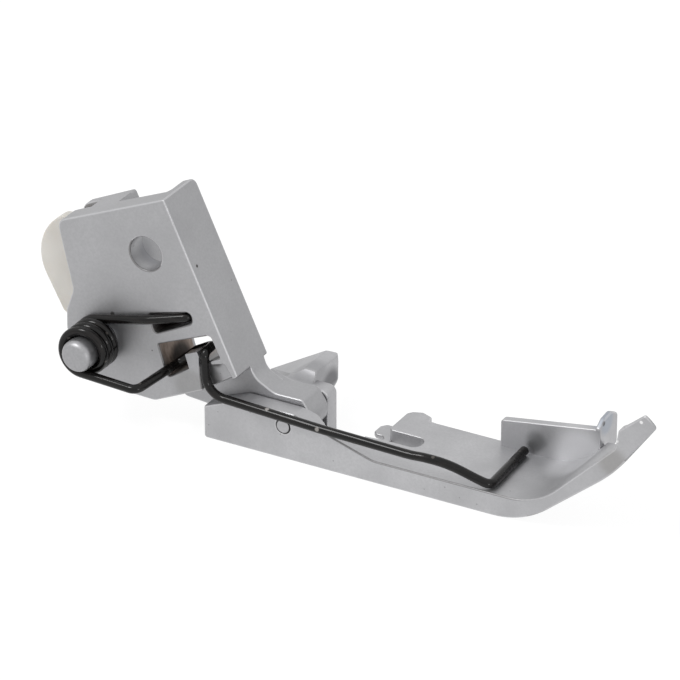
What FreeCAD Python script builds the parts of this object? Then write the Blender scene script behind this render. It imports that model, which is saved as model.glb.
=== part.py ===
import FreeCAD, Part
import math
import os
import Sketcher

# Sewing machine presser foot: a flat sole hinged on a cross pin under a shank holder,
# with a wire spring round a post that presses the toe down.
# +X runs to the toe, +Y across the sole away from the screw side, +Z up, millimetres.
# The origin lies on the sole's underside, under the pin's middle.

os.makedirs("parts", exist_ok=True)
doc = FreeCAD.newDocument("presser_foot")
sheet = doc.addObject("Spreadsheet::Sheet", "Sizes")

SIZES = {
    # hinge
    "pin_height": 3.45,
    "pin_radius": 0.75,
    "pin_length": 7.25,
    "tilt": 25.0,
    "hinge_play": 0.04,
    "side_play": 0.1,
    # sole
    "near_face": 3.6,
    "plate_width": 9.6,
    "plate_thick": 2.34,
    "heel_back": 8.7,
    "heel_height": 3.4,
    "lug_top": 5.0,
    "lug_thick": 1.95,
    "lug_front": 1.85,
    "far_lug_near": 5.45,
    "far_lug_thick": 1.8,
    "heel_floor": 1.1,
    "rail_thick": 1.2,
    "ramp_end": 10.0,
    "plate_back": 8.0,
    "strip_back": 6.9,
    "slot_near": 4.25,
    "slot_width": 2.02,
    "slot_end": 12.2,
    "prong_back": 6.0,
    "prong_low": 0.65,
    "prong_top": 1.2,
    "toe_start": 24.3,
    "toe_tip": 39.16,
    "toe_height": 14.7,
    "nose_start": 35.25,
    # edge guide on the plate
    "guide_back": 18.8,
    "guide_front": 29.15,
    "guide_inset": 1.0,
    "guide_thick": 0.88,
    "guide_low_top": 5.1,
    "guide_high_top": 6.75,
    "tab_thick": 0.55,
    "tab_reach": 2.7,
    "tab_top": 7.6,
    "tab_bottom": 3.7,
    # ear on the far lug
    "ear_peak_x": 1.75,
    "ear_peak_z": 5.9,
    "ear_back": 8.0,
    "ear_bottom": 1.8,
    "ear_far": 11.6,
    # holder, measured upright from the pin
    "holder_top": 24.5,
    "cheek_near": 0.45,
    "cheek_far": 1.95,
    "holder_far": 5.35,
    "arm_far": 4.6,
    "front_face": 2.45,
    "front_thick": 1.1,
    "front_proud": 0.3,
    "front_round": 0.8,
    "cheek_back": 15.4,
    "lobe_radius": 3.7,
    "cheek_bottom": 5.3,
    "knuckle_radius": 1.95,
    "window_front": 3.55,
    "window_back": 9.9,
    "window_low": 7.7,
    "relief_depth": 0.55,
    "screw_back": 6.92,
    "screw_up": 19.74,
    "screw_radius": 1.75,
    "groove_back": 9.55,
    "groove_floor": 13.6,
    "groove_round": 0.9,
    "rim_near": 4.3,
    "rim_back": 16.0,
    "bridge_back": 13.4,
    # spring post
    "post_back": 15.87,
    "post_up": 12.67,
    "post_radius": 1.62,
    "post_out": 5.6,
    "post_in": 4.2,
    "dome_round": 0.7,
    # spring wire
    "wire_radius": 0.45,
    "coil_play": 0.06,
    "coil_turns": 3.0,
    "coil_pitch": 0.96,
    "leg_gap": 0.07,
    "upper_leg": 10.3,
    "lower_leg": 6.4,
    "bend_radius": 0.7,
    # nylon buffer
    "buffer_back": 21.55,
    "buffer_thick": 1.3,
    "buffer_low": 15.4,
    "buffer_round": 5.0,
}

for row, (name, value) in enumerate(SIZES.items(), start=1):
    sheet.set("A%d" % row, name)
    sheet.set("B%d" % row, str(value))
    sheet.setAlias("B%d" % row, name)
doc.recompute()


# A size is a formula over the sheet's cells together with its present value.
class Size:
    def __init__(self, formula, value):
        self.formula = formula
        self.value = value

    def __add__(self, other):
        return combined(self, "+", other)

    def __radd__(self, other):
        return combined(other, "+", self)

    def __sub__(self, other):
        return combined(self, "-", other)

    def __rsub__(self, other):
        return combined(other, "-", self)

    def __mul__(self, other):
        return combined(self, "*", other)

    def __rmul__(self, other):
        return combined(other, "*", self)

    def __neg__(self):
        return combined(0, "-", self)


def as_size(thing):
    return thing if isinstance(thing, Size) else Size(repr(float(thing)), float(thing))


def combined(left, sign, right):
    left = as_size(left)
    right = as_size(right)
    if sign == "+":
        value = left.value + right.value
    elif sign == "-":
        value = left.value - right.value
    else:
        value = left.value * right.value
    return Size("(%s %s %s)" % (left.formula, sign, right.formula), value)


def cell(name):
    return Size("Sizes." + name, float(sheet.get(name)))


# Widths are counted from the sole's near face.
def across(width):
    return as_size(width) - cell("near_face")


def base_plane(body, role):
    return [item for item in body.Origin.OriginFeatures if item.Role == role][0]


def new_sketch(body, name, role, offset):
    sketch = body.newObject("Sketcher::SketchObject", name)
    sketch.AttachmentSupport = [(base_plane(body, role), "")]
    sketch.MapMode = "FlatFace"
    sketch.setExpression("AttachmentOffset.Base.z", as_size(offset).formula)
    return sketch


def bind(sketch, kind, tag, value, *items):
    number = sketch.addConstraint(Sketcher.Constraint(kind, *items, value.value))
    sketch.renameConstraint(number, tag)
    sketch.setExpression("Constraints." + tag, value.formula)


# Where a corner's rounding leaves its two edges, and the rounding's centre.
def rounded(before, corner, after, radius):
    back = (before - corner).normalize()
    ahead = (after - corner).normalize()
    half = back.getAngle(ahead) / 2
    reach = radius / math.tan(half)
    centre = corner + (back + ahead).normalize() * (radius / math.sin(half))
    return corner + back * reach, corner + ahead * reach, centre


# Closed outline: each corner is (across, up) or (across, up, radius).
def outline(body, name, role, offset, corners):
    sketch = new_sketch(body, name, role, offset)
    count = len(corners)
    spots = [FreeCAD.Vector(as_size(c[0]).value, as_size(c[1]).value, 0) for c in corners]
    cuts = []
    for i, corner in enumerate(corners):
        if len(corner) < 3:
            cuts.append((spots[i], spots[i], None))
        else:
            after = spots[(i + 1) % count]
            cuts.append(rounded(spots[i - 1], spots[i], after, as_size(corner[2]).value))
    lines = []
    for i in range(count):
        edge = Part.LineSegment(cuts[i][1], cuts[(i + 1) % count][0])
        lines.append(sketch.addGeometry(edge, False))
    for i, corner in enumerate(corners):
        before = lines[i - 1]
        after = lines[i]
        if cuts[i][2] is None:
            sketch.addConstraint(Sketcher.Constraint("Coincident", before, 2, after, 1))
            held = after
        else:
            held = round_corner(sketch, cuts[i], spots[i], before, after)
            bind(sketch, "Radius", "r%d" % i, as_size(corner[2]), held - 1)
        bind(sketch, "DistanceX", "x%d" % i, as_size(corner[0]), -1, 1, held, 1)
        bind(sketch, "DistanceY", "y%d" % i, as_size(corner[1]), -1, 1, held, 1)
    return sketch


def bearing(spot, centre):
    return math.atan2(spot.y - centre.y, spot.x - centre.x)


def round_corner(sketch, cut, spot, before, after):
    start, end, centre = cut
    ring = Part.Circle(centre, FreeCAD.Vector(0, 0, 1), (start - centre).Length)
    first = bearing(start, centre)
    last = bearing(end, centre)
    turned = (last - first) % (2 * math.pi) > math.pi
    if turned:
        first, last = last, first
    arc = sketch.addGeometry(Part.ArcOfCircle(ring, first, last), False)
    point = sketch.addGeometry(Part.Point(spot), True)
    sketch.addConstraint(Sketcher.Constraint("Tangent", before, 2, arc, 2 if turned else 1))
    sketch.addConstraint(Sketcher.Constraint("Tangent", arc, 1 if turned else 2, after, 1))
    sketch.addConstraint(Sketcher.Constraint("PointOnObject", point, 1, before))
    sketch.addConstraint(Sketcher.Constraint("PointOnObject", point, 1, after))
    return point


def circle(body, name, role, offset, across_size, up_size, radius):
    sketch = new_sketch(body, name, role, offset)
    across_size = as_size(across_size)
    up_size = as_size(up_size)
    centre = FreeCAD.Vector(across_size.value, up_size.value, 0)
    ring = Part.Circle(centre, FreeCAD.Vector(0, 0, 1), radius.value)
    sketch.addGeometry(ring, False)
    bind(sketch, "Radius", "radius", radius, 0)
    bind(sketch, "DistanceX", "across", across_size, -1, 1, 0, 3)
    bind(sketch, "DistanceY", "up", up_size, -1, 1, 0, 3)
    return sketch


def grown(body, kind, name, sketch, length, reverse):
    feature = body.newObject(kind, name)
    feature.Profile = sketch
    feature.setExpression("Length", as_size(length).formula)
    feature.Reversed = reverse
    sketch.Visibility = False
    return feature


# Material or a cut between two widths, from a side outline.
def side_pad(body, name, start, end, corners):
    sketch = outline(body, name + "_outline", "XZ_Plane", -as_size(start), corners)
    return grown(body, "PartDesign::Pad", name, sketch, as_size(end) - start, True)


def side_cut(body, name, start, end, corners):
    sketch = outline(body, name + "_outline", "XZ_Plane", -as_size(start), corners)
    return grown(body, "PartDesign::Pocket", name, sketch, as_size(end) - start, False)


def side_bore(body, name, start, end, across_size, up_size, radius):
    sketch = circle(body, name + "_circle", "XZ_Plane", -as_size(start), across_size, up_size, radius)
    return grown(body, "PartDesign::Pocket", name, sketch, as_size(end) - start, False)


# Material or a cut between two heights, from a plan outline.
def plan_pad(body, name, bottom, top, corners):
    sketch = outline(body, name + "_outline", "XY_Plane", bottom, corners)
    return grown(body, "PartDesign::Pad", name, sketch, as_size(top) - bottom, False)


def plan_cut(body, name, bottom, top, corners):
    sketch = outline(body, name + "_outline", "XY_Plane", top, corners)
    return grown(body, "PartDesign::Pocket", name, sketch, as_size(top) - bottom, False)


# Rounds the edge that passes a spot.
def round_edge(body, name, spot, radius_name):
    doc.recompute()
    tip = body.Tip
    marker = Part.Vertex(spot)
    edges = tip.Shape.Edges
    nearest = min(range(len(edges)), key=lambda i: edges[i].distToShape(marker)[0])
    fillet = body.newObject("PartDesign::Fillet", name)
    fillet.Base = (tip, ["Edge%d" % (nearest + 1)])
    fillet.setExpression("Radius", "Sizes." + radius_name)
    return fillet


def new_body(name):
    body = doc.addObject("PartDesign::Body", name)
    body.Label = name
    return body


# Turns an upright body back about the pin into the working position.
def tip_back(body):
    turn = FreeCAD.Rotation(FreeCAD.Vector(0, 1, 0), -cell("tilt").value)
    body.Placement = FreeCAD.Placement(FreeCAD.Vector(0, 0, 0), turn)
    body.setExpression("Placement.Rotation.Angle", "-Sizes.tilt")
    body.setExpression("Placement.Base.z", "Sizes.pin_height")


# The sole's side outline from the ramp to the toe's nose.
def toe_side(back, thick):
    tip = cell("toe_tip")
    high = cell("toe_height")
    start = cell("toe_start")
    nose = cell("nose_start")
    return [
        (back, 0),
        (start + 1.3, 0, 9.0),
        (tip - 4.26, high - 7.0, 16),
        (tip, high - 1.05, 0.35),
        (tip - 1.21, high, 0.3),
        (nose + 0.05, high - 2.3, 0.3),
        (nose - 0.25, high - 4.27, 0.8),
        (start + 2.61, thick, 7.0),
        (back, thick),
    ]


def build_sole():
    body = new_body("foot_sole")
    near = across(0)
    thick = cell("plate_thick")
    wide = across(cell("plate_width"))
    heel = -cell("heel_back")
    top = cell("lug_top")
    front = cell("lug_front")
    lug = across(cell("lug_thick"))
    # near rail: heel, lug and ramp down to the plate
    side_pad(body, "near_rail", near, lug, [
        (heel, 0, 0.3),
        (cell("ramp_end") + 2, 0),
        (cell("ramp_end") + 2, thick),
        (cell("ramp_end") - 0.3, thick, 3),
        (1.1, top, 0.8),
        (heel + 4.0, top, 0.4),
        (heel, cell("heel_height"), 0.25),
    ])
    side_pad(body, "far_lug", across(cell("far_lug_near")),
             across(cell("far_lug_near") + cell("far_lug_thick")), [
        (heel, 0, 0.3),
        (front, 0),
        (front, top + 0.05, 0.8),
        (heel + 4.0, top + 0.05, 0.4),
        (heel, cell("heel_height"), 0.25),
    ])
    plan_pad(body, "heel_web", 0, cell("heel_floor"), [
        (heel + 0.3, lug - 0.5),
        (front, lug - 0.5),
        (front, across(cell("far_lug_near")) + 0.5),
        (heel + 0.3, across(cell("far_lug_near")) + 0.5),
    ])
    side_pad(body, "plate", near, wide, toe_side(cell("prong_back"), thick))
    trim_rail(body)
    trim_plate(body)
    add_prong(body)
    add_guide(body)
    add_ear(body)
    side_bore(body, "pin_hole", near - 1, across(cell("pin_length")) + 1,
              0, cell("pin_height"), cell("pin_radius"))
    return body


# Plan cut that narrows the near rail between the lug and the plate.
def trim_rail(body):
    lug = across(cell("lug_thick"))
    rail = across(cell("rail_thick"))
    plan_cut(body, "rail_waist", -1, cell("lug_top") + 1, [
        (cell("lug_front") + 0.4, lug + 1),
        (cell("lug_front") + 0.9, lug, 0.6),
        (cell("lug_front") + 2.2, rail, 1.2),
        (cell("strip_back") - 1.6, rail, 1.0),
        (cell("strip_back") - 0.1, across(3.75), 0.5),
        (cell("strip_back") - 0.1, across(5)),
        (cell("lug_front") + 0.4, across(5)),
    ])


# Plan cuts that leave the plate's back edge, needle slot and tapered toe.
def trim_plate(body):
    back = cell("prong_back") - 1
    slot = across(cell("slot_near"))
    slot_far = across(cell("slot_near") + cell("slot_width"))
    edge = across(cell("plate_width"))
    high = cell("toe_height") + 1
    plate_back = cell("plate_back")
    plan_cut(body, "plate_rear", -1, high, [
        (back, across(3.85)),
        (cell("strip_back") + 0.3, across(3.95)),
        (plate_back + 0.6, slot),
        (plate_back + 1.2, slot),
        (plate_back + 1.2, slot_far),
        (plate_back, slot_far, 0.5),
        (plate_back, across(9.97), 0.4),
        (plate_back + 0.35, across(10.5)),
        (plate_back + 0.35, edge + 2),
        (back, edge + 2),
    ])
    plan_cut(body, "needle_slot", -1, high, [
        (plate_back + 0.5, slot),
        (cell("slot_end"), slot, 0.9),
        (cell("slot_end"), slot_far, 0.9),
        (plate_back + 0.5, slot_far),
    ])
    plan_cut(body, "toe_taper", -1, high, [
        (cell("guide_front") + 0.5, edge + 1),
        (cell("guide_front") + 0.5, edge, 0.6),
        (cell("nose_start"), across(0.75), 3.0),
        (cell("toe_tip") + 0.2, across(0.15)),
        (cell("toe_tip") + 0.2, edge + 1),
    ])
    plan_cut(body, "near_trim", -1, high, [
        (cell("plate_back") + 3.2, edge + 1),
        (cell("plate_back") + 3.2, edge),
        (cell("guide_back"), edge - 0.15),
        (cell("guide_back"), edge + 1),
    ])
    plan_pad(body, "plate_ear", 0, cell("plate_thick"), [
        (plate_back, edge - 0.6),
        (plate_back, across(9.97), 0.3),
        (plate_back + 0.4, across(10.5), 0.3),
        (plate_back + 1.35, across(10.86), 0.4),
        (plate_back + 2.5, across(10.4), 0.3),
        (plate_back + 2.9, edge - 0.6),
    ])


# Lower finger behind the plate with the lip that closes the slot's mouth.
def add_prong(body):
    back = cell("prong_back")
    plan_pad(body, "prong", cell("prong_low"), cell("prong_top"), [
        (back, across(7.1)),
        (back + 0.4, across(6.7)),
        (back + 1.1, across(6.7), 0.4),
        (back + 1.6, across(6.2), 0.8),
        (back + 1.3, across(4.9), 0.6),
        (back + 0.9, across(3.6)),
        (back + 2.4, across(3.6)),
        (back + 2.2, across(4.9), 0.8),
        (back + 2.6, across(8.9)),
        (back + 0.5, across(8.9)),
        (back, across(8.3)),
    ])


# Thin upright wall along the far edge with a tab turned outwards at its front.
def add_guide(body):
    back = cell("guide_back")
    front = cell("guide_front")
    near = across(cell("plate_width") - cell("guide_inset"))
    far = near + cell("guide_thick")
    end = across(cell("plate_width") + cell("tab_reach"))
    high = cell("guide_high_top")
    top = cell("tab_top")
    start = cell("toe_start")
    side_pad(body, "guide_wall", near, far, [
        (back, 1),
        (start + 1.9, 1),
        (front, 2.8),
        (front, high),
        (back, cell("guide_low_top"), 0.35),
    ])
    sketch = outline(body, "guide_tab_outline", "YZ_Plane", front + 0.15 - cell("tab_thick"), [
        (near, 3.1),
        (far, 3.1),
        (far + 0.4, cell("tab_bottom"), 0.3),
        (end, cell("tab_bottom"), 0.4),
        (end, top - 0.65, 0.6),
        (near + 2.4, top, 0.6),
        (near + 1.0, top - 0.15, 0.6),
        (near, high + 0.06),
    ])
    grown(body, "PartDesign::Pad", "guide_tab", sketch, cell("tab_thick"), False)


# Wedge shaped ear that stands off the far lug.
def add_ear(body):
    peak_x = -cell("ear_peak_x")
    peak_z = cell("ear_peak_z")
    low = cell("ear_bottom")
    side_pad(body, "ear", across(6.2), across(cell("ear_far")), [
        (-cell("ear_back"), low + 0.45, 0.2),
        (-cell("ear_back") + 0.4, low, 0.2),
        (-1.0, low, 0.5),
        (-0.25, low + 1.5, 0.8),
        (-0.2, peak_z - 0.95),
        (-0.45, peak_z - 0.02, 0.3),
        (peak_x, peak_z, 0.4),
    ])
    lug = cell("lug_top") + 0.05
    ramp = outline(body, "ear_ramp_outline", "YZ_Plane", 0.6, [
        (across(6.0), lug),
        (across(6.3), lug),
        (across(7.9), peak_z + 0.4),
        (across(6.0), peak_z + 0.4),
    ])
    grown(body, "PartDesign::Pocket", "ear_ramp", ramp, cell("ear_back") + 1, False)
    far = across(cell("ear_far"))
    plan_cut(body, "ear_corner", low - 1, peak_z + 1, [
        (-0.65, far + 0.1),
        (0.5, far - 1.1),
        (0.5, far + 0.1),
    ])


def build_pin():
    pin = doc.addObject("Part::Cylinder", "hinge_pin")
    pin.setExpression("Radius", "Sizes.pin_radius")
    pin.setExpression("Height", "Sizes.pin_length")
    turn = FreeCAD.Rotation(FreeCAD.Vector(1, 0, 0), -90)
    pin.Placement = FreeCAD.Placement(FreeCAD.Vector(0, 0, 0), turn)
    pin.setExpression("Placement.Base.y", "-Sizes.near_face")
    pin.setExpression("Placement.Base.z", "Sizes.pin_height")
    return pin


def build_holder():
    body = new_body("holder_body")
    near = across(-cell("cheek_near"))
    cheek = across(cell("cheek_far"))
    far = across(cell("holder_far"))
    top = cell("holder_top")
    front = -cell("front_face")
    inner = front - cell("front_thick")
    proud = front - cell("front_proud")
    low = cell("cheek_bottom")
    back = -cell("cheek_back")
    floor = cell("groove_floor")
    lobe = -cell("post_back") - cell("lobe_radius")
    post = cell("post_up")
    side_pad(body, "cheek", near, cheek, [
        (proud, low + 0.6, 0.2),
        (proud, top),
        (back, top + 0.45, 1.0),
        (back - 1.5, top - 6.6, 1.5),
        (lobe + 0.95, post + 3.45, 1.2),
        (lobe, post + 1.5, 2.0),
        (lobe, post - 2.4, 3.0),
        (lobe + 4.1, low + 1.3, 2.5),
        (-12.9, low, 1.5),
        (-6.3, low, 1.0),
    ])
    side_pad(body, "front_plate", near, far, [
        (front, low + 0.55, 0.2),
        (front, top),
        (inner, top),
        (inner, low + 0.2),
    ])
    round_edge(body, "front_corner", FreeCAD.Vector(front.value - 0.5, far.value, top.value), "front_round")
    round_edge(body, "groove_corner", FreeCAD.Vector(inner.value, cheek.value, 20), "groove_round")
    side_pad(body, "block", cheek - 0.1, far, [
        (inner + 0.2, low + 0.65),
        (inner + 0.2, floor),
        (-cell("bridge_back"), floor),
        (-cell("bridge_back"), low + 3.4, 1.5),
        (-11.9, low + 0.15, 1.5),
        (-6.3, low + 0.15, 1.0),
    ])
    add_arm(body)
    add_rear(body)
    cut_window(body)
    cut_relief(body)
    cut_bores(body)
    tip_back(body)
    return body


# Arm that reaches down between the lugs and rounds the pin as a knuckle.
def add_arm(body):
    knuckle = cell("knuckle_radius")
    low = cell("cheek_bottom")
    front = -cell("front_face")
    arm = across(cell("cheek_far") + cell("side_play"))
    far = across(cell("holder_far"))
    side_pad(body, "arm", arm, across(cell("arm_far")), [
        (knuckle, 0),
        (knuckle - 0.2, 1.5, 0.45),
        (-1.05, 2.75, 2.0),
        (front, low - 0.7, 1.8),
        (front, low + 0.9),
        (-5.0, low + 0.9),
        (-11.5, low + 0.8),
        (-11.3, 4.4, 1.0),
        (-1.2, -1.35),
    ])
    side_pad(body, "arm_web", across(cell("arm_far")) - 0.1, far, [
        (knuckle, 0),
        (knuckle - 0.2, 1.5, 0.45),
        (-1.05, 2.75, 1.5),
        (-2.6, 4.3, 0.4),
        (-4.2, 3.6, 0.4),
        (-1.2, -1.35),
    ])
    ring = circle(body, "knuckle_circle", "XZ_Plane", -arm, 0, 0, knuckle)
    grown(body, "PartDesign::Pad", "knuckle", ring, far - arm, True)


# Rim on the far side of the buffer's slot, bridged to the cheek at the top.
def add_rear(body):
    top = cell("holder_top")
    cheek = across(cell("cheek_far"))
    rim = across(cell("rim_near"))
    floor = cell("groove_floor")
    side_pad(body, "rim", rim, across(cell("holder_far")), [
        (-cell("groove_back"), floor - 0.5),
        (-cell("groove_back"), top + 0.2, 0.3),
        (-cell("rim_back"), top + 0.2, 1.2),
        (-cell("rim_back"), floor - 0.5, 1.0),
    ])
    side_pad(body, "bridge", cheek - 0.1, rim + 0.1, [
        (-cell("groove_back"), floor - 0.5),
        (-cell("groove_back"), top + 0.2),
        (-cell("bridge_back"), top + 0.2),
        (-cell("bridge_back"), floor - 0.5),
    ])


# See-through window with a small tab on its lower edge, and the spring's blind slot.
def cut_window(body):
    near = across(-cell("cheek_near"))
    front = -cell("window_front")
    back = -cell("window_back")
    sill = cell("window_low")
    low = cell("cheek_bottom")
    side_cut(body, "window", near - 0.5, across(cell("holder_far")) + 0.5, [
        (front, sill + 0.3, 0.2),
        (front - 0.05, sill + 2.75, 0.4),
        (back + 0.1, sill + 3.05, 0.2),
        (back - 0.35, sill - 0.35, 0.3),
        (front - 5.05, sill - 0.1),
    ])
    side_pad(body, "window_tab", near, near + 1.1, [
        (front - 2.25, sill - 0.4),
        (front - 2.25, sill + 1.47, 0.1),
        (front - 3.7, sill + 1.48, 0.1),
        (front - 3.95, sill - 0.4),
    ])
    side_cut(body, "spring_slot", near - 0.5, near + 2.0, [
        (-9.7, low + 6.55, 0.4),
        (-5.0, low + 6.7, 0.55),
        (-4.7, low + 7.8, 0.5),
        (-9.4, low + 8.6, 0.3),
    ])


# Shallow relief beside the front plate, in which the spring's leg runs down from the window.
def cut_relief(body):
    near = across(-cell("cheek_near"))
    front = -cell("window_front")
    sill = cell("window_low")
    side_cut(body, "leg_relief", near - 0.5, near + cell("relief_depth"), [
        (front + 0.7, sill - 3.0),
        (front + 0.25, sill - 0.25, 0.4),
        (front - 1.15, sill - 0.05),
        (front - 1.1, sill + 0.9),
        (front - 2.3, sill + 0.9),
        (front - 2.55, sill, 0.5),
        (front - 2.9, sill - 0.8, 0.5),
        (front - 3.65, sill - 3.0),
    ])


def cut_bores(body):
    near = across(-cell("cheek_near"))
    cheek = across(cell("cheek_far"))
    far = across(cell("holder_far"))
    side_bore(body, "screw_hole", near - 0.5, cheek + 0.3,
              -cell("screw_back"), cell("screw_up"), cell("screw_radius"))
    side_bore(body, "post_hole", near - 0.5, across(cell("rim_near")),
              -cell("post_back"), cell("post_up"), cell("post_radius"))
    side_bore(body, "pin_bore", near - 0.5, far + 0.5,
              0, 0, cell("pin_radius") + cell("hinge_play"))


def build_post():
    body = new_body("spring_post")
    out = across(-cell("post_out"))
    ring = circle(body, "post_circle", "XZ_Plane", -out,
                  -cell("post_back"), cell("post_up"), cell("post_radius"))
    grown(body, "PartDesign::Pad", "stem", ring, cell("post_in") + cell("post_out"), True)
    crest = cell("post_up").value + cell("post_radius").value
    rim = FreeCAD.Vector(-cell("post_back").value, out.value, crest)
    round_edge(body, "dome", rim, "dome_round")
    tip_back(body)
    return body


# Nylon buffer in the slot between the cheek and the rim, with an eye round the post.
def build_buffer():
    body = new_body("nylon_buffer")
    near = across(cell("cheek_far") + 0.02)
    back = -cell("buffer_back")
    top = cell("holder_top")
    side_pad(body, "slab", near, near + cell("buffer_thick"), [
        (-cell("bridge_back") - 0.1, cell("post_up") - 2.0, 0.5),
        (-cell("bridge_back") - 0.1, top - 0.9),
        (-16.6, top + 0.15, 0.6),
        (back + 0.1, top - 0.5, cell("buffer_round")),
        (back + 0.55, cell("buffer_low"), 1.0),
        (-18.4, cell("post_up") - 0.8, 1.2),
        (-17.2, cell("post_up") - 2.0, 1.0),
    ])
    side_bore(body, "eye", near - 0.5, near + cell("buffer_thick") + 0.5,
              -cell("post_back"), cell("post_up"), cell("post_radius"))
    tip_back(body)
    return body


# Where a spot of the upright holder lies once it is tipped back.
def tipped(back, width, up):
    tilt = math.radians(cell("tilt").value)
    forward = -as_size(back).value
    up = as_size(up).value
    x = forward * math.cos(tilt) - up * math.sin(tilt)
    z = cell("pin_height").value + forward * math.sin(tilt) + up * math.cos(tilt)
    return FreeCAD.Vector(x, across(width).value, z)


# Straight legs joined by arcs at their corners, one radius for each corner.
def bent_edges(corners, radii):
    edges = []
    here = corners[0]
    for before, corner, after, radius in zip(corners, corners[1:], corners[2:], radii):
        start, end, centre = rounded(before, corner, after, radius)
        middle = centre + (corner - centre).normalize() * radius
        edges.append(Part.LineSegment(here, start).toShape())
        edges.append(Part.Arc(start, middle, end).toShape())
        here = end
    edges.append(Part.LineSegment(here, corners[-1]).toShape())
    return edges


# The coil as short arcs, each leaving in the direction the last one ended in.
def coil_edges(start, end, first):
    radius = cell("post_radius").value + cell("coil_play").value + cell("wire_radius").value
    pitch = cell("coil_pitch").value
    steps = round((end - start) / 60)
    spots = []
    for i in range(steps + 1):
        angle = start + (end - start) * i / steps
        forward = radius * math.cos(math.radians(angle)) - cell("post_back").value
        up = radius * math.sin(math.radians(angle)) + cell("post_up").value
        width = first - pitch * (angle - start) / 360
        spots.append(tipped(-forward, width, up))
    lead = math.radians(start)
    ahead = tipped(math.sin(lead), 0, math.cos(lead)) - tipped(0, 0, 0)
    ahead.y = -pitch / (2 * math.pi * radius)
    ahead.normalize()
    edges = []
    for here, there in zip(spots, spots[1:]):
        chord = there - here
        along = FreeCAD.Vector(chord).normalize()
        outward = (ahead - along * ahead.dot(along)).normalize()
        rise = chord.Length / 2 * math.tan(ahead.getAngle(along) / 2)
        edges.append(Part.Arc(here, (here + there) / 2 + outward * rise, there).toShape())
        ahead = along * (2 * ahead.dot(along)) - ahead
    return edges


def build_spring():
    wire_radius = cell("wire_radius").value
    pitch = cell("coil_pitch").value
    first = -cell("cheek_near").value - wire_radius - 0.1
    start = 78.0
    end = start + 167.0 + 360 * cell("coil_turns").value
    last = first - pitch * (end - start) / 360
    leg_width = -wire_radius - cell("leg_gap").value
    front = cell("window_front")
    sill = cell("window_low")
    coil = coil_edges(start, end, first)
    begin, away = leg_from(coil[0], coil[0].FirstParameter)
    finish, onward = leg_from(coil[-1], coil[-1].LastParameter)
    flat = FreeCAD.Vector(away.x, 0, away.z).normalize()
    leg_start = begin - away * 0.6
    slot_mouth = leg_start - flat * (cell("upper_leg").value - 4.9)
    slot_end = slot_mouth - flat * 4.3 + FreeCAD.Vector(0, 0.8, 0)
    upper = [
        slot_end + FreeCAD.Vector(0, 1.1, 0),
        slot_end,
        slot_mouth,
        leg_start,
        begin,
    ]
    over_plate = cell("plate_thick").value + wire_radius + 0.05
    lower = [
        finish,
        finish + onward * cell("lower_leg").value,
        tipped(front + 5.7, 0.85, sill + 0.5),
        tipped(front + 3.5, 1.3, sill + 1.15),
        tipped(front + 1.3, 1.25, sill + 1.35),
        tipped(front + 1.4, leg_width, sill + 1.25),
        FreeCAD.Vector(-8.05, across(leg_width).value, 5.15),
        FreeCAD.Vector(4.5, across(leg_width).value, 4.6),
        FreeCAD.Vector(15.2, across(leg_width + 0.1).value, 4.33),
        FreeCAD.Vector(22.0, across(0.55).value, over_plate),
        FreeCAD.Vector(21.7, across(8.0).value, over_plate),
    ]
    bend = cell("bend_radius").value
    bends = [bend * times for times in (1.3, 1.3, 1, 0.85, 0.85, 3, 5, 5, 1)]
    edges = bent_edges(upper, [bend, bend * 5, bend * 5]) + coil + bent_edges(lower, bends)
    return sweep_wire("torsion_spring", edges)


# End of an edge and the way it runs there.
def leg_from(edge, parameter):
    return edge.valueAt(parameter), edge.tangentAt(parameter)


# Carries the wire's round section along lines and arcs and closes both ends.
def sweep_wire(name, edges):
    first, along = leg_from(edges[0], edges[0].FirstParameter)
    ring = Part.Circle(first, along, cell("wire_radius").value).toShape()
    faces = [Part.Face(Part.Wire(ring))]
    for edge in edges:
        start, along = leg_from(edge, edge.FirstParameter)
        if edge.Curve.TypeId == "Part::GeomLine":
            reach = edge.valueAt(edge.LastParameter) - start
            faces.append(ring.extrude(reach))
            ring = ring.translated(reach)
        else:
            centre = edge.Curve.Center
            axis = (start - centre).cross(along)
            angle = math.degrees(edge.Length / edge.Curve.Radius)
            faces.append(ring.revolve(centre, axis, angle))
            ring = ring.rotated(centre, axis, angle)
    faces.append(Part.Face(Part.Wire(ring)))
    shell = Part.Shell(faces)
    shell.sewShape()
    feature = doc.addObject("Part::Feature", name)
    feature.Shape = Part.Solid(shell)
    return feature


# A sketch that is not closed or a feature that fails shows up here.
def checked(item):
    if not item.isValid() or "Invalid" in item.State or "Error" in item.State:
        raise RuntimeError(item.Label + " did not build")
    if item.isDerivedFrom("Part::Feature") and not item.isDerivedFrom("Part::Part2DObject"):
        if item.Shape.isNull() or not item.Shape.isValid():
            raise RuntimeError(item.Label + " has a faulty shape")
    return item


nodes = [
    build_sole(),
    build_pin(),
    build_holder(),
    build_post(),
    build_spring(),
    build_buffer(),
]
doc.recompute()
for item in doc.Objects:
    checked(item)
for node in nodes:
    print(node.Label, len(node.Shape.Solids), round(node.Shape.Volume, 2), node.Shape.BoundBox)
    node.Shape.exportStep("parts/%s.step" % node.Label)
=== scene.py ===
# %% [markdown]
# # A sewing machine presser foot
# The foot is a small casting that holds cloth down while the needle works. Its sole is hinged on
# a pin under a holder, and a black wire spring round a post presses the toe down. The CAD model
# gives every piece its true size and place. This script gives them their edges, their finishes
# and the studio around them. All lengths are in metres.

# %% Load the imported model
import math

import bmesh
import bpy
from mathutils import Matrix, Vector
from mathutils.bvhtree import BVHTree
from mathutils.geometry import intersect_point_line


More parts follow.
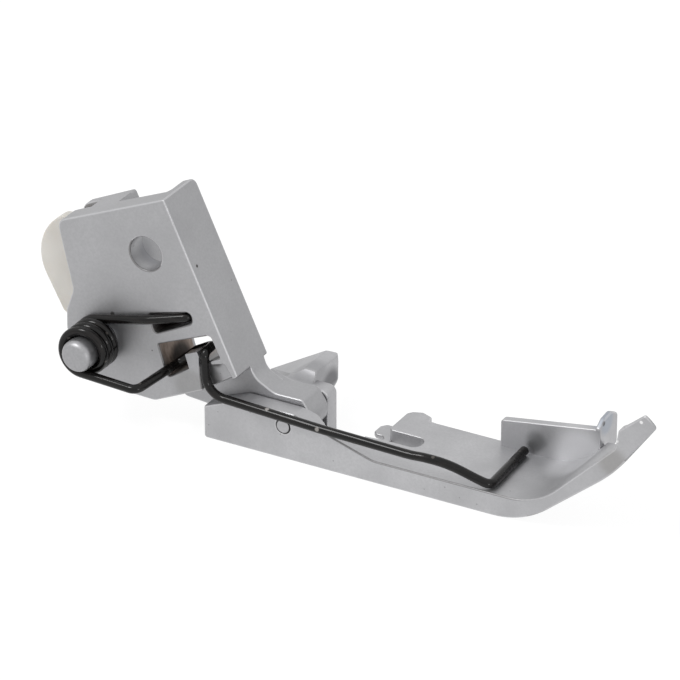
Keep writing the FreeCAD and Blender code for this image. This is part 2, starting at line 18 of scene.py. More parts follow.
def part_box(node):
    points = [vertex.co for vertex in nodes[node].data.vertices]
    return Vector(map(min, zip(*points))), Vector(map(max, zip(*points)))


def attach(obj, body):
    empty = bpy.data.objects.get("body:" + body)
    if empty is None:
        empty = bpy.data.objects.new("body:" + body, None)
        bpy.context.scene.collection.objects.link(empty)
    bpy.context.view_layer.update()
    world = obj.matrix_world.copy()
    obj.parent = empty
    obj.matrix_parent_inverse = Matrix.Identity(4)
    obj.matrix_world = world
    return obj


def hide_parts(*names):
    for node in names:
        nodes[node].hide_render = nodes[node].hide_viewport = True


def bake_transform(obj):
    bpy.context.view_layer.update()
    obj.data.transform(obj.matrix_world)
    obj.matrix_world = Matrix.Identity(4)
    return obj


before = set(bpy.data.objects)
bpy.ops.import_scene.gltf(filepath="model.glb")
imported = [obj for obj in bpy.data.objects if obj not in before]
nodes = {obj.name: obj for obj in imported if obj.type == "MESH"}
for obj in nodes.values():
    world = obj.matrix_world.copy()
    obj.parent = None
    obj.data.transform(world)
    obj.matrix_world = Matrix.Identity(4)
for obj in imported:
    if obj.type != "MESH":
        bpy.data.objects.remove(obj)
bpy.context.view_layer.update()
MM = 0.001
print("pieces:", sorted(nodes))

# %% [markdown]
# ## Colours and shader nodes
# A colour is written as the sRGB hex value that a paint program shows. Blender calculates in
# linear light, so one function turns the value round. Shader nodes can be added and joined by
# hand in the editor. Here a second function adds any node, sets its inputs and links it, which
# keeps each material short enough to read as a recipe. Every finish starts from the Principled
# shader and from Object coordinates, which are true metres on the piece.


# %% Colour and node helpers
def colour(hex_value):
    parts = [int(hex_value[i : i + 2], 16) / 255 for i in (1, 3, 5)]
    return [p / 12.92 if p <= 0.04045 else ((p + 0.055) / 1.055) ** 2.4 for p in parts] + [1.0]


def add_node(tree, kind, inputs=None, out=0, **settings):
    node = tree.nodes.new("ShaderNode" + kind)
    for name, value in settings.items():
        setattr(node, name, value)
    for key, value in (inputs or {}).items():
        if isinstance(value, bpy.types.NodeSocket):
            tree.links.new(value, node.inputs[key])
        else:
            node.inputs[key].default_value = value
    return node.outputs[out]


def new_material(name):
    material = bpy.data.materials.new(name)
    material.use_nodes = True
    tree = material.node_tree
    place = add_node(tree, "TexCoord", out="Object")
    return material, tree, tree.nodes["Principled BSDF"], place


def finish_with(tree, shader, colour_socket, rough_socket, bump_socket):
    tree.links.new(colour_socket, shader.inputs["Base Color"])
    tree.links.new(rough_socket, shader.inputs["Roughness"])
    tree.links.new(bump_socket, shader.inputs["Normal"])


print("mid grey in linear light:", round(colour("#808080")[0], 3))

# %% [markdown]
# ## Marks at one place
# Some marks are real specks and smudges, and some are painted shade, painted highlights and
# painted reflections; each sits at one place on the foot. Each could be painted on an unwrapped
# picture. A soft ball in space needs no picture: its mask is 1 round a spot and fades to 0 at a
# radius, and it tints whatever surface passes through it. Spots and radii are given in
# millimetres, with a colour and a strength.


# %% Mark helpers
def near_spot(tree, place, spot, radius):
    gap = add_node(tree, "VectorMath", {0: place, 1: [v * MM for v in spot]}, "Value",
                   operation="DISTANCE")
    return add_node(tree, "MapRange", {0: gap, 1: radius * MM, 2: radius * 0.5 * MM},
                    interpolation_type="SMOOTHSTEP")


def paint_marks(tree, place, base, marks):
    for spot, radius, tone, strength in marks:
        mask = near_spot(tree, place, spot, radius)
        share = add_node(tree, "Math", {0: mask, 1: strength}, operation="MULTIPLY")
        base = add_node(tree, "Mix", {0: share, 6: base, 7: colour(tone)}, 2, data_type="RGBA")
    return base


# %% [markdown]
# ## Satin plated casting
# Sole and holder are zinc die castings that are tumbled in small stones and nickel plated. That
# leaves an even satin grey with soft edges, a fine orange-peel grain about 0.2 mm wide and a few
# tiny pits. The grain is a noise in the bump, the tumbling shows as faint lighter and darker
# clouds, and the pits are the middles of a few cells of a Voronoi pattern. Handling rubs the
# outer edges, and their colour is lightened further as a painted highlight. The rims of the
# openings are darkened as painted shade. The mesh carries one value for each on its bevels, and
# the material reads them. A pointiness node could find the edges as well, but it can't tell a
# highlighted edge from a shaded one.

# %% Casting material
CLOUD_SIZE = 5 * MM
GRAIN_SIZE = 0.22 * MM
PIT_SPACING = 1.1 * MM


def casting_material(name, tones, marks, tint=None):
    material, tree, shader, place = new_material(name)
    cloud = add_node(tree, "TexNoise", {"Vector": place, "Scale": 1 / CLOUD_SIZE, "Detail": 4.0})
    grain = add_node(tree, "TexNoise", {"Vector": place, "Scale": 1 / GRAIN_SIZE, "Detail": 3.0})
    clouds = add_node(tree, "MapRange", {0: cloud, 1: 0.35, 2: 0.65})
    base = add_node(tree, "Mix", {0: clouds, 6: colour(tones[0]), 7: colour(tones[1])}, 2,
                    data_type="RGBA")
    fine = add_node(tree, "MapRange", {0: grain, 1: 0.35, 2: 0.65, 4: 0.3})
    base = add_node(tree, "Mix", {0: fine, 6: base, 7: colour(tones[2])}, 2, data_type="RGBA")

    # Casting pits: some of the cells hold one dark point each.
    cells = {"Vector": place, "Scale": 1 / PIT_SPACING}
    chosen = add_node(tree, "TexVoronoi", cells, "Color")
    chosen = add_node(tree, "Math", {0: chosen, 1: 0.62}, operation="GREATER_THAN")
    point = add_node(tree, "TexVoronoi", cells, "Distance")
    point = add_node(tree, "MapRange", {0: point, 1: 0.085, 2: 0.05, 4: 0.4})
    pits = add_node(tree, "Math", {0: chosen, 1: point}, operation="MULTIPLY")
    base = add_node(tree, "Mix", {0: pits, 6: base, 7: colour("#3A3836")}, 2, data_type="RGBA")
    if tint:
        base = tint(tree, place, base)
    base = paint_marks(tree, place, base, marks)

    # Painted highlight and painted shade on the edges, as the mesh says.
    rubbed_highlight = add_node(tree, "Attribute", out="Fac", attribute_name="rubbed_highlight")
    painted_edge_shade = add_node(tree, "Attribute", out="Fac", attribute_name="painted_edge_shade")
    dark = add_node(tree, "Math", {0: painted_edge_shade, 1: 0.55}, operation="MULTIPLY")
    base = add_node(tree, "Mix", {0: dark, 6: base, 7: colour("#565452")}, 2, data_type="RGBA")
    light = add_node(tree, "Math", {0: rubbed_highlight, 1: 0.4}, operation="MULTIPLY")
    base = add_node(tree, "Mix", {0: light, 6: base, 7: colour("#D2D2D4")}, 2, data_type="RGBA")

    rough = add_node(tree, "MapRange", {0: cloud, 1: 0.3, 2: 0.7, 3: 0.44, 4: 0.54})
    rough = add_node(tree, "Mix", {0: rubbed_highlight, 2: rough, 3: 0.4})
    deep = add_node(tree, "Math", {0: pits, 1: -6.0, 2: grain}, operation="MULTIPLY_ADD")
    bump = add_node(tree, "Bump", {"Height": deep, "Strength": 0.2, "Distance": 0.02 * MM})
    finish_with(tree, shader, base, rough, bump)
    shader.inputs["Metallic"].default_value = 0.85
    return material


# %% Sole finish
SOLE_MARKS = [
    ((29.2, 6.4, 7.0), 1.6, "#8F9CAE", 0.4),  # the guide's tab, a little bluish
    ((29.4, 5.75, 7.1), 0.34, "#4A4A4C", 0.9),  # painted shade in the small hole in the tab
    ((27.3, 4.4, 3.4), 3.9, "#E6E6E8", 0.6),  # painted reflection of the plate on the lower part of the guide's wall
    ((22.6, 4.5, 3.8), 1.5, "#6E6F71", 0.4),  # painted dark reflection of the wire at the guide's start
    ((34.8, -4.2, 9.0), 2.1, "#86837F", 0.45),  # painted dark reflection band on the toe
    ((35.2, -3.6, 11.3), 0.2, "#F4F4F4", 0.8),  # painted glints on the toe
    ((37.6, -3.6, 13.9), 0.22, "#F4F4F4", 0.8),
    ((-0.2, 6.0, 3.4), 2.2, "#626265", 0.8),  # the ear's front, in its own shade
    ((-1.1, 3.9, 5.4), 2.4, "#88888B", 0.45),  # painted shade in the hollow beside the ear
]
# The sole's greys are lighter than the holder's: painted light, for the glow the white floor throws
# up onto the sole.
sole_finish = casting_material(
    "satin_plated_casting_sole", ("#AEAEB0", "#BEBEC0", "#A5A5A7"), SOLE_MARKS
)
print("sole:", sole_finish.name, len(SOLE_MARKS), "marks")

# %% [markdown]
# ## Old oil and painted shade in the window
# The inner wall that shows through the holder's window keeps a brown film of old oil, streaked
# downwards. It is nearly black near the spring wire, low in the window and in the slot above it:
# that black is painted shade laid over the oil. A second piece with its own material could carry
# the film, but the film has no thickness, so it is a tint on the casting's own finish. It keeps to
# a ball round the window, and to the depth between the cheek's face and the inner wall, so that
# nothing shows outside. Its streaks are a noise that is stretched upwards.

# %% Oil film and painted shade
WINDOW, WINDOW_REACH = (-12.6, -1.0, 8.4), 4.8
OIL_STARTS, OIL_FULL = -4.0 * MM, -3.8 * MM
OIL_THINS, OIL_ENDS = 1.2 * MM, 1.4 * MM
OIL_STREAK = 0.35 * MM
# Nearly black blots of painted shade over the oil, low in the window and in the slot above it.
OIL_AND_SHADE_BLOTS = [
    ((-12.6, -1.0, 6.4), 2.3, "#1C1918", 0.9),
    ((-12.5, -2.5, 11.0), 2.6, "#26211F", 0.85),
]


def oil_film_and_shade(tree, place, base):
    x, y, z = add_node(tree, "SeparateXYZ", {0: place}).node.outputs
    behind = add_node(tree, "MapRange", {0: y, 1: OIL_STARTS, 2: OIL_FULL})
    inside = near_spot(tree, place, WINDOW, WINDOW_REACH)
    inside = add_node(tree, "Math", {0: inside, 1: behind}, operation="MULTIPLY")
    before = add_node(tree, "MapRange", {0: y, 1: OIL_ENDS, 2: OIL_THINS})
    inside = add_node(tree, "Math", {0: inside, 1: before}, operation="MULTIPLY")
    low = add_node(tree, "Math", {0: z, 1: 0.3}, operation="MULTIPLY")
    along = add_node(tree, "CombineXYZ", {0: x, 1: y, 2: low})
    streaks = add_node(tree, "TexNoise", {"Vector": along, "Scale": 1 / OIL_STREAK, "Detail": 4.0})
    share = add_node(tree, "MapRange", {0: streaks, 1: 0.35, 2: 0.7})
    film = add_node(tree, "Mix", {0: share, 6: colour("#9C8E84"), 7: colour("#7A6C63")}, 2,
                    data_type="RGBA")
    film = paint_marks(tree, place, film, OIL_AND_SHADE_BLOTS)
    return add_node(tree, "Mix", {0: inside, 6: base, 7: film}, 2, data_type="RGBA")


# %% Holder finish
HOLDER_MARKS = [
    ((-15.3, -1.0, 17.3), 2.6, "#75767C", 0.5),  # painted shade inside the screw hole
    ((-9.9, -4.05, 5.5), 2.2, "#7D7C7A", 0.4),  # darker corner under the window
    ((-7.3, -3.2, 8.6), 0.9, "#2A2624", 0.85),  # oil where the wire comes out
    # painted shade below it, in the recess beside the wire
    ((-7.6, -3.3, 6.7), 1.2, "#5A5856", 0.45),
    ((-9.49, -3.18, 18.01), 0.2, "#3F3D3B", 0.95),  # single pits
    ((-13.4, -4.05, 10.7), 0.12, "#4A4846", 0.8),
    ((-14.1, -4.05, 8.2), 0.1, "#4A4846", 0.8),
    ((-18.47, -4.05, 11.07), 0.3, "#4F4D4B", 0.8),
]
holder_finish = casting_material(
    "satin_plated_casting_holder", ("#A7A7A9", "#B0B0B2", "#9A9A9C"), HOLDER_MARKS, oil_film_and_shade
)
print("holder:", holder_finish.name, len(HOLDER_MARKS), "marks")

# %% [markdown]
# ## Turned steel
# The hinge pin and the spring post are turned steel. The post's dome is smooth and a little darker
# than the castings. The pin is ground flush with the sole, so only a thin dark line shows where it
# meets the casting. That line could be a groove in the mesh. It is only about a tenth of a
# millimetre wide, so it is a ring in the colour, worked out from X and Z round the pin's axis.

# %% Steel material
STEEL_GRAIN = 0.25 * MM
RIM_STARTS, RIM_FULL = 0.13 * MM, 0.05 * MM
pin_low, pin_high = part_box("hinge_pin")
PIN_RADIUS = (pin_high.x - pin_low.x) / 2
PIN_UP = (pin_low.z + pin_high.z) / 2


def steel_material(name, tones, rim_radius=None):
    material, tree, shader, place = new_material(name)
    grain = add_node(tree, "TexNoise", {"Vector": place, "Scale": 1 / STEEL_GRAIN, "Detail": 3.0})
    share = add_node(tree, "MapRange", {0: grain, 1: 0.3, 2: 0.7})
    base = add_node(tree, "Mix", {0: share, 6: colour(tones[0]), 7: colour(tones[1])}, 2,
                    data_type="RGBA")
    if rim_radius:
        flat = add_node(tree, "VectorMath", {0: place, 1: (0, 0, -PIN_UP)}, operation="ADD")
        flat = add_node(tree, "VectorMath", {0: flat, 1: (1, 0, 1)}, operation="MULTIPLY")
        reach = add_node(tree, "VectorMath", {0: flat}, "Value", operation="LENGTH")
        rim = add_node(tree, "MapRange",
                       {0: reach, 1: rim_radius - RIM_STARTS, 2: rim_radius - RIM_FULL})
        base = add_node(tree, "Mix", {0: rim, 6: base, 7: colour("#2B2A2A")}, 2, data_type="RGBA")
    rough = add_node(tree, "MapRange", {0: grain, 1: 0.3, 2: 0.7, 3: 0.4, 4: 0.46})
    bump = add_node(tree, "Bump", {"Height": grain, "Strength": 0.05, "Distance": 0.01 * MM})
    finish_with(tree, shader, base, rough, bump)
    shader.inputs["Metallic"].default_value = 0.9
    return material


post_finish = steel_material("turned_steel_post", ("#9C9C9E", "#A8A8AA"))
pin_finish = steel_material("ground_steel_pin", ("#ACACAE", "#B4B4B6"), PIN_RADIUS)
print("pin radius", round(PIN_RADIUS, 6), "and height", round(PIN_UP, 6))

# %% [markdown]
# ## Black spring wire
# The spring is hardened wire with an oiled black oxide: nearly black, with thin bright lines where
# it turns to the lamp, and faint streaks along it from the die that drew it. A plain noise would
# look like rust, so the streaks are a noise that is stretched along the legs, and round the post's
# axis on the coil. Grease and dust leave a few paler specks, and the oil is a thin clear coat.

# %% Streaks that follow the wire
post_low, post_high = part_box("spring_post")
POST_X = (post_low.x + post_high.x) / 2
POST_Z = (post_low.z + post_high.z) / 2
COIL_ENDS, LEGS_START = 2.7 * MM, 2.9 * MM


def streak_place(tree, place):
    x, y, z = add_node(tree, "SeparateXYZ", {0: place}).node.outputs
    ahead = add_node(tree, "Math", {0: x, 1: POST_X}, operation="SUBTRACT")
    above = add_node(tree, "Math", {0: z, 1: POST_Z}, operation="SUBTRACT")
    ring = add_node(tree, "CombineXYZ", {0: ahead, 1: above})
    reach = add_node(tree, "VectorMath", {0: ring}, "Value", operation="LENGTH")
    turn = add_node(tree, "Math", {0: above, 1: ahead}, operation="ARCTAN2")
    turn = add_node(tree, "Math", {0: turn, 1: 0.35 * MM}, operation="MULTIPLY")
    coil = add_node(tree, "CombineXYZ", {0: turn, 1: y, 2: reach})
    slow = add_node(tree, "Math", {0: x, 1: 0.12}, operation="MULTIPLY")
    legs = add_node(tree, "CombineXYZ", {0: slow, 1: y, 2: z})
    outside = add_node(tree, "MapRange", {0: reach, 1: COIL_ENDS, 2: LEGS_START})
    return add_node(tree, "Mix", {0: outside, 4: coil, 5: legs}, 1, data_type="VECTOR")


print("post axis at", round(POST_X, 6), round(POST_Z, 6))

# %% Wire material
STREAK_SIZE = 0.3 * MM
DUST_SPACING = 1.8 * MM
WIRE_SPECKS = [
    ((-1.35, -4.23, 5.29), 0.26, "#B8B4B0", 0.8),
    ((4.24, -4.5, 4.71), 0.28, "#A8A4A0", 0.8),
]


def wire_material():
    material, tree, shader, place = new_material("black_oxide_spring_wire")
    along = streak_place(tree, place)
    streaks = add_node(tree, "TexNoise", {"Vector": along, "Scale": 1 / STREAK_SIZE, "Detail": 5.0})
    lines = add_node(tree, "MapRange", {0: streaks, 1: 0.48, 2: 0.7})
    base = add_node(tree, "Mix", {0: lines, 6: colour("#0C0B0B"), 7: colour("#1E1A19")}, 2,
                    data_type="RGBA")
    dust = add_node(tree, "TexVoronoi", {"Vector": place, "Scale": 1 / DUST_SPACING}, "Distance")
    dust = add_node(tree, "MapRange", {0: dust, 1: 0.12, 2: 0.06, 4: 0.4})
    base = add_node(tree, "Mix", {0: dust, 6: base, 7: colour("#8A847E")}, 2, data_type="RGBA")
    base = paint_marks(tree, place, base, WIRE_SPECKS)
    rough = add_node(tree, "MapRange", {0: streaks, 1: 0.3, 2: 0.7, 3: 0.2, 4: 0.32})
    bump = add_node(tree, "Bump", {"Height": streaks, "Strength": 0.2, "Distance": 0.02 * MM})
    finish_with(tree, shader, base, rough, bump)
    shader.inputs["Specular IOR Level"].default_value = 0.08
    shader.inputs["Coat Weight"].default_value = 0.4
    shader.inputs["Coat Roughness"].default_value = 0.05
    return material


wire_finish = wire_material()
print("wire:", wire_finish.name)

# %% [markdown]
# ## Moulded nylon
# The buffer on the holder's back is moulded nylon, the colour of milk. Some light goes into it and
# comes out again nearby, which softens its shading. A lighter colour alone would look like paint,
# so the shader gets a little subsurface scattering about a millimetre deep. Its surface has the
# slight waves of a mould's polish.

# %% Nylon material
WAVE_SIZE = 4 * MM


def nylon_material():
    material, tree, shader, place = new_material("moulded_nylon_buffer")
    wave = add_node(tree, "TexNoise", {"Vector": place, "Scale": 1 / WAVE_SIZE, "Detail": 2.0})
    share = add_node(tree, "MapRange", {0: wave, 1: 0.35, 2: 0.65})
    base = add_node(tree, "Mix", {0: share, 6: colour("#D9D5CE"), 7: colour("#E0DDD7")}, 2,
                    data_type="RGBA")
    rough = add_node(tree, "MapRange", {0: wave, 1: 0.3, 2: 0.7, 3: 0.38, 4: 0.46})
    bump = add_node(tree, "Bump", {"Height": wave, "Strength": 0.1, "Distance": 0.05 * MM})
    finish_with(tree, shader, base, rough, bump)
    shader.inputs["Subsurface Weight"].default_value = 0.35
    shader.inputs["Subsurface Radius"].default_value = (1.0, 0.9, 0.75)
    shader.inputs["Subsurface Scale"].default_value = 0.8 * MM
    return material


nylon_finish = nylon_material()
print("buffer:", nylon_finish.name)

# %% [markdown]
# ## One skin from a CAD mesh
# No edge of a tumbled casting is sharp: each one catches a thin line of light. The CAD solid has
# crisp edges, and its mesh is loose triangles with fixed normals, which can't be bevelled. So a
# copy is merged into one skin, its flat faces are joined, and the fixed normals are dropped. The
# CAD node's own mesh is left alone.

# %% Copy and merge
MERGE_GAP = 0.002 * MM
FLAT_TURN = math.radians(0.3)


def plain_copy(node, finish):
    mesh = nodes[node].data.copy()
    for name in ("custom_normal", "sharp_edge", "sharp_face"):
        if name in mesh.attributes:
            mesh.attributes.remove(mesh.attributes[name])
    mesh.materials.clear()
    mesh.materials.append(finish)
    return mesh


def merged(mesh):
    shape = bmesh.new()
    shape.from_mesh(mesh)
    bmesh.ops.remove_doubles(shape, verts=shape.verts, dist=MERGE_GAP)
    bmesh.ops.dissolve_limit(shape, angle_limit=FLAT_TURN, verts=shape.verts,
                             edges=shape.edges, delimit=set())
    return shape


# %% [markdown]
# ## Soft edges
# A Bevel modifier could round the edges, but it can't mark its faces for painted highlight or
# painted shade, nor leave out an edge where the bevel would fold over itself. So bmesh bevels
# every outward edge that turns by more than 25 degrees. Inward edges stay, because a mould leaves
# those crisp. Then each small face is compared with the solid's surface: where one faces the
# other way, the edges round it are too cramped, and the work starts again with those edges left
# crisp.

# %% Bevel the edges
SOFT_TURN = math.radians(25)
ROUNDS = 6
# Only faces between these areas in square metres, and with few corners, are compared.
SMALLEST, LARGEST, MOST_CORNERS = 1e-10, 1e-6, 8


def reach_of(edge, spot):
    start, end = (v.co for v in edge.verts)
    foot, share = intersect_point_line(spot, start, end)
    foot = start.lerp(end, min(max(share, 0.0), 1.0))
    return (spot - foot).length


def soften(shape, edges, width, edge_shade_at):
    rubbed_highlight = shape.faces.layers.float.new("rubbed_highlight")
    painted_edge_shade = shape.faces.layers.float.new("painted_edge_shade")
    made = bmesh.ops.bevel(shape, geom=edges, offset=width, offset_type="OFFSET", affect="EDGES",
                           segments=3, profile=0.5, clamp_overlap=False, material=-1)
    # Each new bevel face gets its share of painted shade, and the rest as painted highlight.
    for face in made["faces"]:
        share = edge_shade_at(face.calc_center_median())
        face[painted_edge_shade] = share
        face[rubbed_highlight] = 1.0 - share


def softened(mesh, width, edge_shade_at, crisp):
    cramped = [Vector(spot) * MM for spot in crisp]
    for attempt in range(ROUNDS):
        shape = merged(mesh)
        solid = BVHTree.FromBMesh(shape)
        edges = [e for e in shape.edges if e.is_convex and e.calc_face_angle() > SOFT_TURN]
        edges = [e for e in edges if all(reach_of(e, spot) > 1.5 * width for spot in cramped)]
        soften(shape, edges, width, edge_shade_at)
        small = [f for f in shape.faces
                 if len(f.verts) <= MOST_CORNERS and SMALLEST < f.calc_area() < LARGEST]
        centres = [(f, f.calc_center_median()) for f in small]
        folded = [c for f, c in centres if solid.find_nearest(c)[1].dot(f.normal) < -0.2]
        if not folded:
            break
        cramped += folded
    print(len(edges), "soft edges,", len(folded), "folded faces after", attempt + 1, "rounds")
    return shape


# %% [markdown]
# ## Highlighted and shaded edges
# Most outer edges of the foot are rubbed, and their colour is lightened as a painted highlight.
# The rims of the holder's screw hole, spring slot and window are darkened as painted shade, and
# the step along the sole's near side carries the spring wire's painted shadow, up to where the toe
# starts to rise. A few edges get only part of the highlight and some painted shade. The shade
# could be painted by hand, but a few places with a reach are quicker and give the same result
# each time.

# %% Where the edges are shaded
# The screw hole, the slot and the window, as X, Z and reach in millimetres.
OPENINGS = ((-15.3, 17.4, 2.3), (-12.9, 10.8, 4.2), (-11.3, 8.2, 3.6))
# The ear, the needle slot and the guide's top, as X, Y, Z and reach in millimetres.
PART_SHADED_SPOTS = ((-1.1, 4.2, 5.6, 2.4), (9.5, 1.7, 2.3, 4.0), (24, 5, 6, 5.5))
# Edges at these places get this share of painted shade, and the rest as painted highlight.
PART_SHADE = 0.4
# The sole's near step: its edges lie before STEP_Y, and their painted shadow fades over the last 5
# mm.
STEP_Y, STEP_X, STEP_Z = -3.3 * MM, 3 * MM, 1 * MM
STEP_ENDS, STEP_FADE = 29 * MM, 5 * MM


# Edges with no painted shade, only painted highlight.
def unshaded_edge(point):
    return 0.0


def holder_rims(point):
    x, z = point.x / MM, point.z / MM
    near = any(math.hypot(x - cx, z - cz) < reach for cx, cz, reach in OPENINGS)
    return 1.0 if near and point.y < 0 else 0.0


# Part painted shade at a few places, and the spring wire's painted shadow along the sole's near
# step.
def sole_step(point):
    for x, y, z, reach in PART_SHADED_SPOTS:
        if (point / MM - Vector((x, y, z))).length < reach:
            return PART_SHADE
    if point.y > STEP_Y or point.x < STEP_X or point.z < STEP_Z:
        return 0.0
    return min(max((STEP_ENDS - point.x) / STEP_FADE, 0.0), 1.0)


# %% [markdown]
# ## The castings and the buffer
# Each softened copy becomes a piece that stands for its CAD node. Smooth shading alone would
# make the flat faces look bulged. Weighted normals keep them flat, and put all the turning of the
# light on the bevels. On top of the holder's arm a step tapers to nothing, and no bevel fits on
# its thin end, so that end stays crisp.

# %% Softened pieces
BODY_OF = {"foot_sole": "sole", "holder_body": "holder", "nylon_buffer": "holder"}
CASTING_EDGE, NYLON_EDGE = 0.15 * MM, 0.12 * MM
SHARP_TURN = math.radians(50)
TAPERED_STEP = ((-2.3, 1, 5.6), (-2.1, 1, 5.55), (-1.9, 1, 5.51))


def bevelled_copy(node, name, width, finish, edge_shade_at=unshaded_edge, crisp=()):
    mesh = plain_copy(node, finish)
    shape = softened(mesh, width, edge_shade_at, crisp)
    for face in shape.faces:
        face.smooth = True
    shape.to_mesh(mesh)
    shape.free()
    piece = bpy.data.objects.new(name, mesh)
    bpy.context.scene.collection.objects.link(piece)
    mesh.set_sharp_from_angle(angle=SHARP_TURN)
    flat = piece.modifiers.new("flat faces stay flat", "WEIGHTED_NORMAL")
    flat.keep_sharp = True
    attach(piece, BODY_OF[node])
    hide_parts(node)
    print(name, len(mesh.polygons), "faces")


bevelled_copy("foot_sole", "sole_casting", CASTING_EDGE, sole_finish, sole_step)
bevelled_copy("holder_body", "holder_casting", CASTING_EDGE, holder_finish,
              holder_rims, TAPERED_STEP)
bevelled_copy("nylon_buffer", "nylon_buffer_moulding", NYLON_EDGE, nylon_finish)

# %% [markdown]
# ## Pin and post
# The hinge pin and the domed spring post come out of the CAD model just as they are turned, so
# a copy would gain nothing. They keep their meshes and only get a finish.

# %% Finishes on the CAD pieces that stay
for node, finish in (("hinge_pin", pin_finish), ("spring_post", post_finish)):
    nodes[node].material_slots[0].material = finish
    print(node, "gets", finish.name)

# %% [markdown]
# ## The spring wire
# One end of the wire is hooked in the holder and the other lies on the sole, so the wire bends as
# the foot tilts. A new curve could be drawn along it, but the CAD mesh already has the true
# route. So a copy of it gets extra rings along the long leg, cut by planes, where the bend would
# come. Before its last bend the real leg stands a little proud, and the copy's points are lifted
# there.

# %% Wire with extra rings
BEND_FROM, BEND_TO = -6 * MM, 12 * MM
RISE_FROM, RISE_LENGTH, RISE_HEIGHT = 13.5 * MM, 8.5 * MM, 0.4 * MM
RING_STEP = 0.7 * MM
LEG_TOP, LEG_BACK = 6.2 * MM, -7.5 * MM
wire_mesh = plain_copy("torsion_spring", wire_finish)
shape = bmesh.new()
shape.from_mesh(wire_mesh)
bmesh.ops.remove_doubles(shape, verts=shape.verts, dist=MERGE_GAP)
cuts = [BEND_FROM + (BEND_TO - BEND_FROM) * step / 12 for step in range(13)]
cuts += [RISE_FROM + RING_STEP * step for step in range(12)]
for cut in cuts:
    long_leg = [v for v in shape.verts if v.co.z < LEG_TOP and v.co.x > LEG_BACK]
    faces = set(f for v in long_leg for f in v.link_faces)
    edges = set(e for f in faces for e in f.edges)
    verts = set(v for f in faces for v in f.verts)
    bmesh.ops.bisect_plane(shape, geom=list(faces | edges | verts), dist=1e-7,
                           plane_co=(cut, 0, 0), plane_no=(1, 0, 0))
print("wire:", len(cuts), "cuts,", len(shape.verts), "points")

# %% Wire with a lifted leg
for vert in shape.verts:
    share = (vert.co.x - RISE_FROM) / RISE_LENGTH
    if 0 < share < 1 and vert.co.z < LEG_TOP:
        vert.co.z += RISE_HEIGHT * math.sin(math.pi * share) ** 2
for face in shape.faces:
    face.smooth = True
shape.to_mesh(wire_mesh)
shape.free()
wire_mesh.set_sharp_from_angle(angle=SHARP_TURN)
wire = bpy.data.objects.new("spring_wire", wire_mesh)
bpy.context.scene.collection.objects.link(wire)
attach(wire, "holder")
wire.parent = None  # the wire is left without a parent
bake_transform(wire)
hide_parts("torsion_spring")
print("wire bends from", BEND_FROM, "to", BEND_TO)

# %% [markdown]
# ## White floor
# The foot was photographed on white, with hardly a shadow. A floor that is lit until it is white
# would also throw too much light on the foot. This one looks white to the camera and in
# reflections by a glow of its own, and is plain pale paper to all other light, so that it keeps
# the foot's shadow.

# %% Floor
FLOOR_HALF = 1.5
FLOOR_DROP = 0.02 * MM


def floor_material():
    material, tree, shader, place = new_material("white_paper_sweep")
    shader.inputs["Base Color"].default_value = colour("#F2F2F2")
    shader.inputs["Roughness"].default_value = 0.9
    rays = add_node(tree, "LightPath").node.outputs
    seen = add_node(tree, "Math", {0: rays["Is Camera Ray"], 1: rays["Is Glossy Ray"]},
                    operation="MAXIMUM")
    share = add_node(tree, "Math", {0: seen, 1: 0.78}, operation="MULTIPLY")
    glow = add_node(tree, "Emission", {"Color": (1, 1, 1, 1), "Strength": 1.15})
    both = add_node(tree, "MixShader", {0: share, 1: shader.outputs[0], 2: glow})
    tree.links.new(both, tree.nodes["Material Output"].inputs["Surface"])
    return material


floor_shape = bmesh.new()
bmesh.ops.create_grid(floor_shape, x_segments=1, y_segments=1, size=FLOOR_HALF)
floor_mesh = bpy.data.meshes.new("floor")
floor_shape.to_mesh(floor_mesh)
floor_shape.free()
floor_mesh.materials.append(floor_material())
floor = bpy.data.objects.new("floor", floor_mesh)
bpy.context.scene.collection.objects.link(floor)
floor.location.z = -FLOOR_DROP
print("floor:", 2 * FLOOR_HALF, "m wide")

# %% [markdown]
# ## Light tent
# Small shiny things are often photographed in a tent of white cloth, which gives metal something
# pale and even to mirror. A real tent could be modelled. A white world does the same with less:
# it lights everything a little, is brighter towards the top in reflections, and is white where
# the camera sees it.


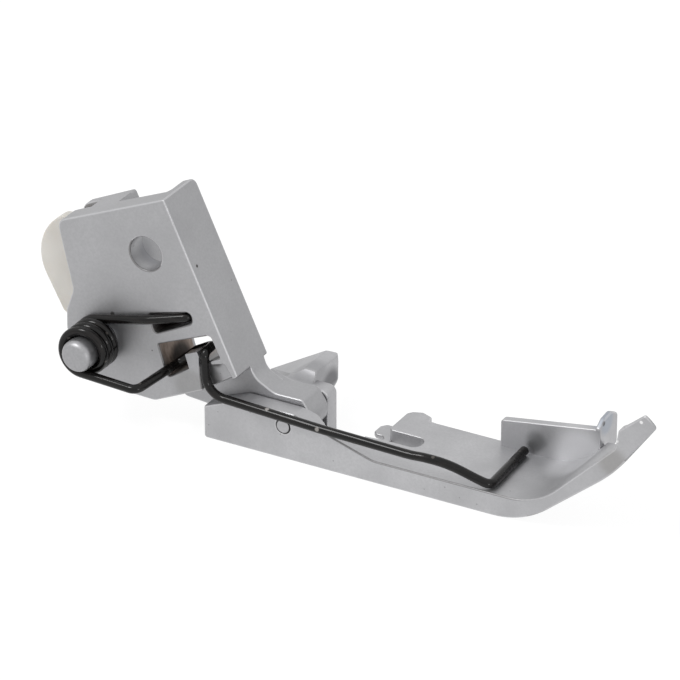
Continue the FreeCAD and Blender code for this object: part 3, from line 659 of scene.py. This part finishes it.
# %% World
def white_world():
    world = bpy.data.worlds.new("light_tent")
    bpy.context.scene.world = world
    world.use_nodes = True
    tree = world.node_tree
    back = tree.nodes["Background"]
    rays = add_node(tree, "LightPath").node.outputs
    way = add_node(tree, "TexCoord", out="Generated")
    height = add_node(tree, "SeparateXYZ", {0: way}, "Z")
    glossy = add_node(tree, "MapRange", {0: height, 1: 0.0, 2: 0.55, 3: 0.3, 4: 0.5},
                      interpolation_type="SMOOTHSTEP")
    glossy = add_node(tree, "Math", {0: glossy, 1: rays["Is Glossy Ray"], 2: 0.55},
                      operation="MULTIPLY_ADD")
    strength = add_node(tree, "Math", {0: rays["Is Camera Ray"], 1: 0.45, 2: glossy},
                        operation="MULTIPLY_ADD")
    tree.links.new(strength, back.inputs["Strength"])
    back.inputs["Color"].default_value = (1, 1, 1, 1)
    print("world:", world.name)


white_world()

# %% [markdown]
# ## Lamps
# The photograph's light comes from above on the left, with a weaker one low on the right that
# lifts the sole's front. Sun lamps would give hard edges, so both are square panels like soft
# boxes, turned to the middle of the foot.

# %% Soft boxes
MIDDLE = (0.005, 0, 0.01)


def area_lamp(name, place, size, power):
    data = bpy.data.lights.new(name, "AREA")
    data.shape = "SQUARE"
    data.size = size
    data.energy = power
    lamp = bpy.data.objects.new(name, data)
    bpy.context.scene.collection.objects.link(lamp)
    lamp.location = place
    lamp.rotation_euler = (Vector(MIDDLE) - Vector(place)).to_track_quat("-Z", "Y").to_euler()
    print(name, power, "watts")


area_lamp("top_softbox", (-0.2, -0.25, 0.42), 0.16, 0.95)
area_lamp("side_softbox", (0.45, -0.34, 0.075), 0.1, 0.3)

# %% [markdown]
# ## Camera
# The camera looks along the angle of the photograph, from half a metre away through a long lens.
# A short lens nearer by would fill the frame as well, but it would make the toe look too large
# beside the holder. Its place was fitted to points that can be told apart in the photograph.

# %% Camera
CAMERA_PLACE = Vector((0.218157, -0.382815, 0.2424045))
CAMERA_TARGET = Vector((0.002183, 0.0036245, 0.0099835))
FOCAL_LENGTH, SENSOR_WIDTH = 277.94, 36
camera_data = bpy.data.cameras.new("camera")
camera_data.lens = FOCAL_LENGTH
camera_data.sensor_width = SENSOR_WIDTH
camera = bpy.data.objects.new("camera", camera_data)
bpy.context.scene.collection.objects.link(camera)
camera.location = CAMERA_PLACE
camera.rotation_euler = (CAMERA_TARGET - CAMERA_PLACE).to_track_quat("-Z", "Y").to_euler()
bpy.context.scene.camera = camera
bpy.context.scene.view_settings.view_transform = "Standard"
print("camera at", [round(v, 3) for v in camera.location])
